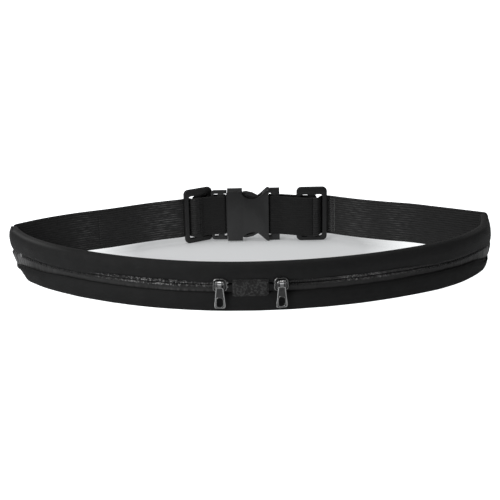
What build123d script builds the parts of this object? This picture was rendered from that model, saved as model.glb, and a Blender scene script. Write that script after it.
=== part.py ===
from build123d import *
import math
import os

# Money belt, standing on its lower edge as a closed loop and fastened at the back.
# Millimetres.  +X is to the wearer's left end of the loop, +Z is up and the pouch faces -Y.
# The origin is on the surface below the middle of the loop.

# ---- driving dimensions -------------------------------------------------------------------

# pouch, measured on its front face
pouch_height = 41.5
front_y = -88.0                 # front face of the pouch at its middle
# The front face is three arcs on each side of the middle: each arc's radius, and the heading,
# in degrees from +X, that it has turned to at its end.
left_arcs = ((300.0, 32.0), (175.0, 54.0), (20.0, 80.0))
right_arcs = ((350.0, 26.0), (130.0, 60.0), (45.0, 88.0))
cloth = 1.2                     # thickness of the front cloth
fold = 1.2                      # thickness of the folded top and bottom edges
pouch_depth = 5.4               # front face to the inner face of the back panel
panel_top = 26.8                # lower edge of the upper panel
panel_low = 16.4                # upper edge of the lower panel
patch_half = 14.6               # the sewn patch in the middle, from its own middle
patch_heights = (12.0, 28.3)
binding_width = 9.0             # fold at each end of the pouch

# zips
coil_mid_z = 23.6
coil_gap = 1.5                  # slit between the two rows of coil, where the slider's neck runs
coil_width = 2.3
coil_thick = 1.8
stop_length = 3.0
tape_thick = 0.6
zip_inner = 18.0                # from the middle to each zip's inner end, beside the patch
slider_middle = 24.7            # from the middle to a closed slider
zip_short = 19.0                # the zips end this far before the ends of the pouch

# webbing
web_width = 38.0
web_thick = 1.5
web_mid_z = 24.5
web_gap = 0.3                   # air between the webbing and what it passes
web_depth = 2.7                 # the webbing's middle behind the pouch's front face
web_in_pouch = 15.0             # length sewn in between the panels
web_tail = 5.0                  # straight length outside the pouch before the webbing turns
corner_radius = 5.0

# tri-glide buckles
glide_length = 29.0
glide_height = 53.0
glide_thick = 3.6
glide_rim = 4.5                 # outer bars
glide_bar = 6.0                 # middle bar
slot_height = 44.6
left_glide = (-48.7, 85.5, 28.0)   # middle and turn about Z: it faces a little to the right
right_glide = (59.4, 83.5, 0.0)

# side-release buckle, with u measured from the mouth of the socket towards +X
mouth_x = -20.8
buckle_y = 87.0
buckle_mid_z = 25.8
socket_length = 49.7
socket_thick = 12.0
collar_length = 14.3
collar_half = 24.6
end_half = 25.6
window_end = 38.0
end_bar_thick = 5.0
end_slot = (39.2, 41.6)
buckle_slot = 43.2              # height of the slots in both halves
cavity_half = 21.0
cavity_thick = 7.0
cavity_length = 35.0
plug_thick = 4.4
plug_frame = (-15.4, -0.4)      # the part of the plug that shows outside the socket
plug_slots = ((-12.7, -9.0), (-3.2, -0.8))
arm_hinge = (3.0, 16.5)         # u and height of the point where each latch arm bends
arm_root = 2.2
arm_thick = 5.4

# ---- plan of the pouch ---------------------------------------------------------------------


def face_arcs(side):
    """The arcs of one side's front face from the middle outwards, -1 left or +1 right: each
    arc's centre, radius, first heading and last heading."""
    arcs = []
    x, y, start = 0.0, front_y, 0.0
    for radius, end in right_arcs if side > 0 else left_arcs:
        first, last = math.radians(start), math.radians(end)
        centre = (x - radius * math.sin(first), y + radius * math.cos(first))
        x, y = centre[0] + radius * math.sin(last), centre[1] - radius * math.cos(last)
        arcs.append(((side * centre[0], centre[1]), radius, start, end))
        start = end
    return arcs


def end_heading(side):
    return side * (right_arcs if side > 0 else left_arcs)[-1][1]


def pouch_circle(heading):
    """The circle that the pouch's front face follows where it has this heading."""
    for centre, radius, _, last in face_arcs(1 if heading > 0 else -1):
        if abs(heading) <= last:
            return centre, radius


def heading_at(side, length):
    """The heading at a length along the front face from the middle."""
    for _, radius, first, last in face_arcs(side):
        arc = radius * math.radians(last - first)
        if length <= arc:
            return side * (first + math.degrees(length / radius))
        length -= arc
    return end_heading(side)


def heading_before_end(side, length):
    """The heading at a length before the pouch's end on one side."""
    total = sum(r * math.radians(last - first) for _, r, first, last in face_arcs(side))
    return heading_at(side, total - length)


def pouch_point(heading, depth):
    """A plan point at a depth behind the front face."""
    centre, radius = pouch_circle(heading)
    angle = math.radians(heading)
    reach = radius - depth
    return (centre[0] + reach * math.sin(angle), centre[1] - reach * math.cos(angle))


def pouch_arcs(depth, start, end):
    """Arcs that follow the front face at a depth, from one heading to another."""
    turns = [-h for _, h in reversed(left_arcs)] + [0.0] + [h for _, h in right_arcs]
    stops = [start, *(h for h in turns if start < h < end), end]
    arcs = []
    for first, last in zip(stops[:-1], stops[1:]):
        centre, radius = pouch_circle((first + last) / 2)
        arcs.append(CenterArc(centre, radius - depth, first - 90, last - first))
    return arcs


def pouch_wall(depth, thick, start, end, low, high):
    """An upright wall that follows the pouch."""
    outer = pouch_arcs(depth, start, end)
    inner = pouch_arcs(depth + thick, start, end)
    ends = [Line(outer[0] @ 0, inner[0] @ 0), Line(outer[-1] @ 1, inner[-1] @ 1)]
    return Pos(0, 0, low) * extrude(make_face([*outer, *inner, *ends]), high - low)


def on_pouch(heading, depth, height):
    """Place at a point of the pouch: local +X runs to the right and local -Y points forwards."""
    x, y = pouch_point(heading, depth)
    return Pos(x, y, height) * Rot(0, 0, heading)


# ---- pouch cloth ---------------------------------------------------------------------------


def front_panel(low, high, fold_low, fold_high):
    """A front cloth with its top or bottom edge folded back to the rear cloth."""
    face = pouch_wall(0, cloth, end_heading(-1), end_heading(1), low, high)
    ends = [heading_before_end(side, web_in_pouch + 1) for side in (-1, 1)]
    return face + pouch_wall(0, pouch_depth, *ends, fold_low, fold_high)


def back_panel():
    return pouch_wall(pouch_depth - 0.8, 0.8, end_heading(-1), end_heading(1),
                      fold, pouch_height - fold)


def pocket_lining(side):
    """The thin inner cloth of one pocket, between the zip and the rear cloth."""
    ends = sorted((heading_at(side, 4), heading_before_end(side, zip_short)))
    return pouch_wall(pouch_depth - 1.8, 0.6, *ends, 2.5, pouch_height - 2.5)


def centre_patch():
    """The sewn patch that covers the inner ends of the two zips."""
    ends = [heading_at(side, patch_half) for side in (-1, 1)]
    bottom, top = patch_heights
    patch = pouch_wall(-2.0, 1.0, *ends, bottom, top)
    return patch + pouch_wall(-1.0, 1.0, *ends, bottom, bottom + 2.5)


def end_binding(side):
    """The strip folded over one end of the pouch, from the front cloth."""
    ends = sorted((heading_before_end(side, binding_width), end_heading(side)))
    return pouch_wall(-1.0, 1.0, *ends, 0.6, pouch_height - 0.6)


# ---- zips ------------------------------------------------------------------------------------


def zip_ends(side):
    """Lengths along the front face from the middle to a zip's inner and outer ends."""
    total = sum(r * math.radians(last - first) for _, r, first, last in face_arcs(side))
    return zip_inner, total - zip_short


def along_zip(side, depth, thick, start, end, low, high):
    """An upright wall between two lengths along the front face on one side."""
    ends = sorted((heading_at(side, start), heading_at(side, end)))
    return pouch_wall(depth, thick, *ends, low, high)


def zip_tape(side, upper):
    """One tape of a zip, behind the front cloth, with its edge at the coil."""
    edge = coil_mid_z + (coil_gap / 2 if upper else -coil_gap / 2)
    low, high = (edge, edge + 9) if upper else (edge - 12, edge)
    return along_zip(side, cloth, tape_thick, *zip_ends(side), low, high)


def zip_coil(side, upper):
    """One row of coil, sewn along the edge of its tape between the two stops."""
    inner, outer = zip_ends(side)
    low = coil_mid_z + (coil_gap / 2 if upper else -coil_gap / 2 - coil_width)
    return along_zip(side, cloth - coil_thick, coil_thick, inner + stop_length,
                     outer - stop_length, low, low + coil_width)


def zip_stops(side):
    """Two small clips at the inner end of the coils and one across both at the outer end."""
    inner, outer = zip_ends(side)
    near, far = coil_gap / 2, coil_gap / 2 + coil_width
    spans = [(inner, near, far), (inner, -far, -near), (outer - stop_length, -far, far)]
    depth = cloth - coil_thick - 0.1
    clips = [along_zip(side, depth, coil_thick + 0.1, start, start + stop_length - 0.1,
                       coil_mid_z + low, coil_mid_z + high) for start, low, high in spans]
    return Compound(children=[clip.solid() for clip in clips])


pin_height = coil_mid_z + 2.6   # cross pin that carries the pull tab
pin_depth = -4.6
pin_radius = 0.8


def rounded_plate(width, height, thick, radius):
    """A plate in the XZ plane with rounded corners, from y = 0 back to y = thick."""
    face = Plane.XZ * RectangleRounded(width, height, radius)
    return extrude(face, -thick)


def slider_body(side):
    """Front plate, rear plate and neck round the coil, with ears and a cross pin in front."""
    place = on_pouch(heading_at(side, slider_middle), 0, coil_mid_z)
    front = Pos(0, -2.5, 0) * rounded_plate(12, 11.5, 1.5, 4)
    rear = Pos(0, 2.2, 0) * rounded_plate(10, 9, 0.9, 3)
    neck = Pos(0, 0.3, 0) * Box(2.6, 5.0, 0.9)
    ears = []
    for across in (-2.6, 2.6):
        ear = Pos(across, -4.0, pin_height - coil_mid_z) * Box(1.2, 4.2, 3.2)
        ears.append(fillet(ear.edges().filter_by(Axis.X).group_by(Axis.Y)[0], 1.2))
    pin = Pos(0, pin_depth, pin_height - coil_mid_z) * Rot(0, 90, 0) * Cylinder(pin_radius, 5.0)
    return place * (front + rear + neck + ears[0] + ears[1] + pin)


pull_length = 21.5              # from the cross pin to the lower end
pull_width = (6.0, 9.0)         # under the knuckle and near the lower end
pull_window = (5.0, 7.0)        # opening near the lower end
pull_window_drop = 16.2         # from the cross pin to the middle of the opening
pull_thick = 1.6


def zip_pull(side):
    """Tapered pull tab that hangs from the cross pin, with an opening near its lower end."""
    place = on_pouch(heading_at(side, slider_middle), pin_depth, pin_height)
    neck = 1.7
    right = [(neck, 1.0), (neck, -2.4), (pull_width[0] / 2, -3.6),
             (pull_width[1] / 2, -pull_length + 4), (pull_width[1] / 2, -pull_length)]
    left = [(-x, z) for x, z in reversed(right)]
    outline = Polyline(*right, *left, close=True)
    tab = extrude(Plane.XZ * make_face(outline), pull_thick / 2, both=True)
    tab = fillet(tab.edges().filter_by(Axis.Y).group_by(Axis.Z)[0], 3.4)
    knuckle = Rot(0, 90, 0) * Cylinder(1.75, 2 * neck)
    bore = Rot(0, 90, 0) * Cylinder(pin_radius + 0.08, 8)
    opening = Plane.XZ * (Pos(0, -pull_window_drop) * RectangleRounded(*pull_window, 2.4))
    return place * (tab + knuckle - bore - extrude(opening, 6, both=True))


# ---- webbing -----------------------------------------------------------------------------------

pass_offset = glide_thick / 2 + web_gap + web_thick / 2        # webbing beside a tri-glide bar
outer_offset = pass_offset + web_thick + web_gap               # a second layer over the first


def glide_point(glide, side, along, inwards):
    """Plan point beside a tri-glide: along is away from the buckle, inwards is to the body."""
    x, y, turn = glide
    angle = math.radians(turn)
    return (x + side * (along * math.cos(angle) - inwards * math.sin(angle)),
            y - along * math.sin(angle) - inwards * math.cos(angle))


def strap(side, glide, bends, buckle_turn):
    """One webbing strap: from the pouch, through its tri-glide, round the buckle's bar and back
    to the tri-glide's middle bar, where its end is sewn round."""
    turn = end_heading(side)
    leave = pouch_point(turn, web_depth)
    angle = math.radians(turn)
    corner = (leave[0] + side * web_tail * math.cos(angle),
              leave[1] + side * web_tail * math.sin(angle))
    threading = [(16.5, -pass_offset, 3.0), (9.2, -pass_offset, 2.0),
                 (5.5, outer_offset, 2.0), (-3.6, outer_offset, 3.0)]
    sewn_end = [(4.05, -pass_offset, 1.1), (4.05, pass_offset, 1.1)]
    route = [(*corner, corner_radius), *bends]
    route += [(*glide_point(glide, side, a, n), r) for a, n, r in threading]
    route += buckle_turn
    route += [(*glide_point(glide, side, a, n), r) for a, n, r in sewn_end]
    last = glide_point(glide, side, -1.8, pass_offset)
    points = [leave, *[(x, y) for x, y, _ in route], last]
    line = FilletPolyline(*points, radius=[r for _, _, r in route])
    start, end = sorted((turn, heading_before_end(side, web_in_pouch)))
    sewn_in = pouch_arcs(web_depth, start, end)
    band = trace([*sewn_in, line], web_thick)
    return Pos(0, 0, web_mid_z - web_width / 2) * extrude(band, web_width)


def socket_turn():
    """Webbing round the socket's end bar, as plan points with their bend radii."""
    bar = end_bar_thick / 2 + web_gap + web_thick / 2
    inner = mouth_x + end_slot[1] - web_gap - web_thick / 2
    outer = mouth_x + socket_length
    return [(outer + 15.5, buckle_y - bar - 2.9, 20.0), (outer + 2.5, buckle_y - bar, 20.0),
            (inner, buckle_y - bar, 1.6), (inner, buckle_y + bar, 1.6),
            (outer + 2.5, buckle_y + bar, 10.0)]


def plug_turn():
    """Webbing round the plug's middle bar, as plan points with their bend radii."""
    bar = plug_thick / 2 + web_gap + web_thick / 2
    inner = mouth_x + plug_slots[1][0] + web_gap + web_thick / 2
    outer = mouth_x + plug_frame[0]
    return [(outer - 0.6, buckle_y - bar, 6.0), (inner, buckle_y - bar, 1.4),
            (inner, buckle_y + bar, 1.4), (outer + 3.0, buckle_y + bar, 3.0),
            (*glide_point(left_glide, -1, -16.0, -pass_offset - 0.7), 3.0)]


left_bends = [(-190.0, 30.5, 60.0), (-160.0, 45.5, 60.0), (-128.0, 57.5, 60.0),
              (-93.0, 72.5, 50.0)]
right_bends = [(190.0, 35.5, 150.0), (150.0, 55.0, 60.0), (131.0, 61.0, 60.0),
               (100.0, 73.5, 60.0)]

# ---- tri-glide buckles ---------------------------------------------------------------------------


def triglide(glide, side):
    """Flat frame with a middle bar and two slots."""
    x, y, turn = glide
    frame = rounded_plate(glide_length, glide_height, glide_thick, 4.5)
    frame = fillet(frame.edges().filter_by(GeomType.LINE).filter_by(Axis.Z), 1.0)
    slot = glide_length / 2 - glide_rim - glide_bar / 2
    for across in (-1, 1):
        middle = across * (glide_bar / 2 + slot / 2)
        window = Plane.XZ * RectangleRounded(slot, slot_height, 0.5)
        frame -= Pos(middle, 0, 0) * extrude(window, 10, both=True)
    place = Pos(x, y, glide_height / 2) * Rot(0, 0, -side * turn)
    return place * Pos(0, -glide_thick / 2, 0) * frame


# ---- side-release buckle ---------------------------------------------------------------------------


def slab(points, thick):
    """A slab of the buckle: outline in u and height, thickness about the buckle's middle."""
    return extrude(Plane.XZ * make_face(Polyline(*points, close=True)), thick / 2, both=True)


def block(u_range, z_range, y_range):
    """A box in the buckle's own frame."""
    lows, highs = zip(u_range, y_range, z_range)
    size = [high - low for low, high in zip(lows, highs)]
    middle = [(high + low) / 2 for low, high in zip(lows, highs)]
    return Pos(*middle) * Box(*size)


in_buckle = Pos(mouth_x, buckle_y, buckle_mid_z)


def socket_buckle():
    """Socket half: a flat sleeve with two side windows and a bar for the webbing."""
    notch = 16.2
    edge = [(0, collar_half), (collar_length, collar_half), (collar_length + 0.1, 20.8),
            (17.0, 18.2), (20.0, 16.8), (24.0, notch), (28.0, 16.9), (31.5, 19.5),
            (window_end, end_half), (socket_length, end_half)]
    outline = edge + [(u, -z) for u, z in reversed(edge)]
    body = slab(outline, socket_thick)
    body = fillet(body.edges().filter_by(Axis.X).sort_by(Axis.Z)[-2:], 1.5)
    body = fillet(body.edges().filter_by(Axis.X).sort_by(Axis.Z)[:2], 1.5)
    body -= block((-1, cavity_length), (-cavity_half, cavity_half),
                  (-cavity_thick / 2, cavity_thick / 2))
    body -= block(end_slot, (-buckle_slot / 2, buckle_slot / 2), (-10, 10))
    for side in (-1, 1):
        thin = sorted((side * end_bar_thick / 2, side * 10))
        body -= block((end_slot[0] + 0.5, 60), (-30, 30), thin)
    return in_buckle * body


def plug_buckle():
    """Plug half: a webbing frame with two slots, a shoulder and a guide tongue."""
    half = 24.2
    frame = block(plug_frame, (-half, half), (-plug_thick / 2, plug_thick / 2))
    frame = fillet(frame.edges().filter_by(Axis.Y).group_by(Axis.X)[0], 3.0)
    for low, high in plug_slots:
        frame -= block((low, high), (-buckle_slot / 2, buckle_slot / 2), (-10, 10))
    shoulder = block((-1.0, 6.0), (-20.5, 20.5), (-3.2, 3.2))
    tongue = block((5.0, 30.0), (-3.0, 3.0), (-2.0, 2.0))
    tongue = fillet(tongue.edges().filter_by(Axis.Y).group_by(Axis.X)[-1], 2.0)
    plug = frame + shoulder + tongue
    u, z = arm_hinge
    for side in (-1, 1):
        seat = Pos(u, 0, side * z) * Rot(90, 0, 0) * Cylinder(arm_root + 0.1, 20)
        gap = block((u, 20), sorted((side * (z - 3.4), side * 30)), (-10, 10))
        plug -= seat + gap
    return in_buckle * plug


def latch_arm(side):
    """Springy arm with a leaf-shaped head that catches behind the socket's collar."""
    u, z = arm_hinge
    head = 14.7
    outline = [(u, z + arm_root), (head - 3, z + 2.0), (head, z + 2.6), (head, 22.4),
               (18.0, 22.8), (24.0, 21.4), (29.0, 18.6), (33.4, 14.0), (32.0, 12.2),
               (26.0, 12.0), (20.0, 12.6), (head, 13.8), (u, z - arm_root)]
    arm = slab(outline, arm_thick)
    arm += Pos(u, 0, z) * Rot(90, 0, 0) * Cylinder(arm_root, arm_thick)
    recess = [(18.0, 19.8), (24.0, 18.6), (29.0, 15.6), (24.0, 14.6), (18.5, 15.6)]
    for face in (-1, 1):
        arm -= Pos(0, face * arm_thick / 2, 0) * slab(recess, 1.6)
    if side < 0:
        arm = mirror(arm, about=Plane.XY)
    return in_buckle * arm


# ---- all the pieces ----------------------------------------------------------------------------------

pieces = {
    "back_panel": back_panel(),
    "upper_front_panel": front_panel(panel_top, pouch_height, pouch_height - fold, pouch_height),
    "lower_front_panel": front_panel(0, panel_low, 0, fold),
    "centre_patch": centre_patch(),
    "left_strap": strap(-1, left_glide, left_bends, plug_turn()),
    "right_strap": strap(1, right_glide, right_bends, socket_turn()),
    "left_triglide": triglide(left_glide, -1),
    "right_triglide": triglide(right_glide, 1),
    "socket_buckle": socket_buckle(),
    "plug_buckle": plug_buckle(),
    "upper_latch_arm": latch_arm(1),
    "lower_latch_arm": latch_arm(-1),
}
for name, side in (("left", -1), ("right", 1)):
    pieces[name + "_pocket_lining"] = pocket_lining(side)
    pieces[name + "_end_binding"] = end_binding(side)
    pieces[name + "_zip_upper_tape"] = zip_tape(side, True)
    pieces[name + "_zip_lower_tape"] = zip_tape(side, False)
    pieces[name + "_zip_upper_coil"] = zip_coil(side, True)
    pieces[name + "_zip_lower_coil"] = zip_coil(side, False)
    pieces[name + "_zip_stops"] = zip_stops(side)
    pieces[name + "_zip_slider"] = slider_body(side)
    pieces[name + "_zip_pull"] = zip_pull(side)

os.makedirs("parts", exist_ok=True)
for node, shape in pieces.items():
    export_step(shape, "parts/" + node + ".step")
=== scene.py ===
import bpy, bmesh, math
import numpy as np
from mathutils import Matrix, Quaternion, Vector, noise


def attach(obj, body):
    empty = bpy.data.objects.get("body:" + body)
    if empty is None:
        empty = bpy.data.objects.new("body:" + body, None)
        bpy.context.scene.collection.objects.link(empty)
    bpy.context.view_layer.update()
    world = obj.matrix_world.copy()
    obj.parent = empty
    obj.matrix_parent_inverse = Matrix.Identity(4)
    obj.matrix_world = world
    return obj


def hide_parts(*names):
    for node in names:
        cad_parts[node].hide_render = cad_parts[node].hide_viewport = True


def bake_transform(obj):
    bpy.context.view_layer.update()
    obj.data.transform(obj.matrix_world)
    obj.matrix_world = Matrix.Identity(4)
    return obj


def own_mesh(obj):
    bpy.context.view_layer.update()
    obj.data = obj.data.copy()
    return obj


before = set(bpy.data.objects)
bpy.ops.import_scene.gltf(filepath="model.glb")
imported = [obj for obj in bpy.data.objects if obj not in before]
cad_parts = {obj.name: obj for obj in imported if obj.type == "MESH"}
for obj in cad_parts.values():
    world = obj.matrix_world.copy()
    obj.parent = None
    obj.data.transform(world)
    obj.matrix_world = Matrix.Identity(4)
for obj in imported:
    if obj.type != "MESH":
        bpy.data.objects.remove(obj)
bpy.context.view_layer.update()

# Money belt, standing on its lower edge.  Lengths are millimetres in the part's frame until a
# mesh is made; "length" runs along the pouch's front face from its middle.

# ---- dimensions ----

front_y = -88.0
# the front face's arcs on each side of the middle: radius, heading at its end
left_arcs = ((300.0, 32.0), (175.0, 54.0), (20.0, 80.0))
right_arcs = ((350.0, 26.0), (130.0, 60.0), (45.0, 88.0))
panel_top = 26.8
panel_low = 16.4
patch_half = 14.6
patch_heights = (12.0, 28.3)
coil_mid_z = 23.6
zip_inner = 18.0
slider_middle = 24.7
zip_short = 19.0
stop_length = 3.0
web_width = 38.0
web_thick = 1.5
web_gap = 0.3
web_depth = 2.7
glide_size = (29.0, 53.0, 3.6)
glide_rim = 4.5
glide_bar = 6.0
slot_height = 41.6
slot_drop = {-1: -1.0, 1: -1.6}         # how far the tri-glides' slots sit below their middles
left_glide = (-48.7, 85.5, 28.0)
right_glide = (59.4, 83.5, 0.0)
buckle_y = 87.0
pin_height = coil_mid_z + 2.6
pin_depth = -4.6
foot_lean = {-1: 9.0, 1: 4.0}           # inward lean of each end's foot
top_lean = 3.2                          # inward lean of the right end's top corner
end_lift = {-1: 1.7, 1: 1.9}            # rise of the top edge over the webbing at each end
tape_flare = 4.2                        # the lower tapes stand out this far at the ends
tack_run = (76.6, 82.5, 1.15)           # sewn patch beside the right tri-glide: from, to, step

# ---- mesh helpers ----


def make(name, parts, materials):
    """One mesh object from parts (points, faces, uv by face corner, material index)."""
    points, faces, uvs, indices, shines = [], [], [], [], []
    offset = 0
    for part in parts:
        verts, part_faces, part_uvs, index = part[:4]
        points.append(np.asarray(verts, float))
        faces += [tuple(i + offset for i in face) for face in part_faces]
        uvs += [uv for face in part_uvs for uv in face]
        indices += [index] * len(part_faces)
        shines.append(part[4] if len(part) > 4 else np.zeros(len(verts)))
        offset += len(verts)
    mesh = bpy.data.meshes.new(name)
    mesh.from_pydata((np.vstack(points) * 0.001).tolist(), [], faces)
    layer = mesh.uv_layers.new(name="weave")
    layer.data.foreach_set("uv", (np.array(uvs, float) * 0.001).ravel())
    for material in materials:
        mesh.materials.append(material)
    mesh.polygons.foreach_set("material_index", indices)
    mesh.polygons.foreach_set("use_smooth", [True] * len(faces))
    # per-point painted highlight strength, read by the materials through the shine attribute
    attribute = mesh.attributes.new("shine", "FLOAT", "POINT")
    attribute.data.foreach_set("value", np.concatenate(shines).astype(np.float32))
    mesh.update()
    obj = bpy.data.objects.new(name, mesh)
    bpy.context.scene.collection.objects.link(obj)
    return obj


def loft(rings, along, around, closed=True, caps=True, index=0, shine=None):
    """Quads between successive rings; along and around give the surface coordinates."""
    rings = np.asarray(rings, float)
    count, size = rings.shape[:2]
    faces, uvs = [], []
    steps = size if closed else size - 1
    for i in range(count - 1):
        row, nxt = i * size, (i + 1) * size
        u0, u1 = along[i], along[i + 1]
        for j in range(steps):
            k = (j + 1) % size
            faces.append((row + j, nxt + j, nxt + k, row + k))
            v0, v1 = around[j], around[j + 1]
            uvs.append(((u0, v0), (u1, v0), (u1, v1), (u0, v1)))
    if caps and closed:
        for i, order in ((0, 1), (count - 1, -1)):
            ring = list(range(i * size, (i + 1) * size))[::order]
            faces.append(tuple(ring))
            uvs.append(tuple((along[i], around[j - i * size]) for j in ring))
    values = np.zeros(count * size) if shine is None else np.asarray(shine, float).ravel()
    return rings.reshape(-1, 3), faces, uvs, index, values


def measure(line, closed=False):
    """Distance run at each point of a line of points."""
    line = np.asarray(line, float)
    if closed:
        line = np.vstack([line, line[:1]])
    return np.concatenate([[0], np.cumsum(np.linalg.norm(np.diff(line, axis=0), axis=1))])


def rounded(points, radii, turn=8.0, longest=None):
    """An open line through corner points with its corners rounded."""
    points = [np.array(p, float) for p in points]
    out = [points[0]]
    for before, corner, after, radius in zip(points, points[1:], points[2:], radii):
        back, on = before - corner, after - corner
        reach = 0.49 * min(np.linalg.norm(back), np.linalg.norm(on))
        back, on = back / np.linalg.norm(back), on / np.linalg.norm(on)
        angle = math.acos(max(-1, min(1, -float(back @ on))))
        if angle < 0.005 or radius <= 0:
            out.append(corner)
            continue
        cut = min(radius * math.tan(angle / 2), reach)
        radius = cut / math.tan(angle / 2)
        middle = (back + on) / np.linalg.norm(back + on)
        centre = corner + middle * radius / math.cos(angle / 2)
        first = corner + back * cut - centre
        a0 = math.atan2(first[1], first[0])
        cross = -back[0] * on[1] + back[1] * on[0]
        sweep = angle if cross > 0 else -angle
        for k in range(max(3, int(math.degrees(angle) / turn)) + 1):
            share = k / max(3, int(math.degrees(angle) / turn))
            a = a0 + sweep * share
            out.append(centre + radius * np.array((math.cos(a), math.sin(a))))
    out.append(points[-1])
    if longest:
        fine = [out[0]]
        for p, q in zip(out, out[1:]):
            pieces = max(1, math.ceil(np.linalg.norm(q - p) / longest))
            fine += [p + (q - p) * k / pieces for k in range(1, pieces + 1)]
        out = fine
    keep = [out[0]]
    for p in out[1:]:
        if np.linalg.norm(p - keep[-1]) > 0.02:
            keep.append(p)
    return np.array(keep)


def evenly(line, count):
    """A line resampled to a fixed number of even steps."""
    run = measure(line)
    steps = np.linspace(0, run[-1], count)
    return np.stack([np.interp(steps, run, line[:, i]) for i in (0, 1)], axis=1)


def normals(line):
    """Left-hand unit normals of an open line in a plane."""
    line = np.asarray(line, float)
    run = np.gradient(line, axis=0)
    run /= np.linalg.norm(run, axis=1)[:, None]
    return np.stack([-run[:, 1], run[:, 0]], axis=1)


def band(line, thick):
    """A closed outline round an open line, with rounded ends."""
    across = normals(line)
    run = np.gradient(line, axis=0)
    run /= np.linalg.norm(run, axis=1)[:, None]
    half = thick / 2
    left, right = line + across * half, line - across * half
    start = [line[0] - run[0] * half * 0.7 + across[0] * half * s for s in (-0.6, 0.0, 0.6)]
    end = [line[-1] + run[-1] * half * 0.7 + across[-1] * half * s for s in (0.6, 0.0, -0.6)]
    return np.vstack([left, end, right[::-1], start])


def smooth(value, low, high):
    """An even step from 0 at low to 1 at high."""
    share = np.clip((np.asarray(value, float) - low) / (high - low), 0, 1)
    return share * share * (3 - 2 * share)


def bell(value, middle, width):
    """A bump of height 1 round the middle."""
    return np.exp(-((np.asarray(value, float) - middle) / width) ** 2)


def ripple(*where, scale=1.0, seed=0.0):
    """Smooth noise between -1 and 1."""
    x, y, z = (list(where) + [0.0, 0.0])[:3]
    return noise.noise(Vector((x / scale + seed, y / scale - seed, z / scale + 2 * seed)))


# ---- the pouch's own coordinates ----


def face_at(length):
    """Plan point and heading of the pouch's front face."""
    side = 1 if length >= 0 else -1
    arcs = right_arcs if side > 0 else left_arcs
    x, y, start, left = 0.0, front_y, 0.0, abs(length)
    for i, (radius, end) in enumerate(arcs):
        first, last = math.radians(start), math.radians(end)
        cx, cy = x - radius * math.sin(first), y + radius * math.cos(first)
        if left <= radius * (last - first) or i == len(arcs) - 1:
            angle = first + left / radius
            return side * (cx + radius * math.sin(angle)), cy - radius * math.cos(angle), side * angle
        left -= radius * (last - first)
        x, y, start = cx + radius * math.sin(last), cy - radius * math.cos(last), end


def face_length(side):
    """Length of the front face on one side of the middle."""
    total, start = 0.0, 0.0
    for radius, end in right_arcs if side > 0 else left_arcs:
        total += radius * math.radians(end - start)
        start = end
    return total


left_end, right_end = -face_length(-1), face_length(1)


def lean(length, z):
    """How far the pouch leans in near its ends: both feet, and the right top corner."""
    foot = foot_lean[-1] * float(smooth(-length, 208, 246))
    foot += foot_lean[1] * float(smooth(length, 226, 252))
    top = top_lean * float(smooth(length, 226, 252)) * float(smooth(z, 20, 42))
    return foot * max(0.0, (29 - z) / 29) ** 1.4 + top


def lift(length, z):
    """The top edge rises over the webbing sewn into each end."""
    side = 1 if length >= 0 else -1
    end = face_length(side)
    return end_lift[side] * float(smooth(abs(length), end - 30, end - 4) * smooth(z, 30, 41))


def on_face(length, depth, z):
    """Point of the pouch from a length, a depth behind the front face and a height."""
    x, y, heading = face_at(length)
    depth = depth + lean(length, z)
    return (x - depth * math.sin(heading), y + depth * math.cos(heading), z + lift(length, z))


def wall(lengths, section, index=0, shine=None, caps=True):
    """A wall that follows the pouch. section(length) gives its closed outline as depth, z."""
    rings, values = [], []
    for length in lengths:
        outline = section(length)
        rings.append([on_face(length, depth, z) for depth, z in outline])
        values.append([shine(length, z) if shine else 0.0 for _, z in outline])
    around = measure(section(lengths[len(lengths) // 2]), closed=True)
    return loft(rings, list(lengths), around, index=index, shine=values, caps=caps)


def spaced(start, end, step):
    """Even places from start to end, about a step apart."""
    return np.linspace(start, end, max(2, int(abs(end - start) / step) + 1))


# ---- materials ----


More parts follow.
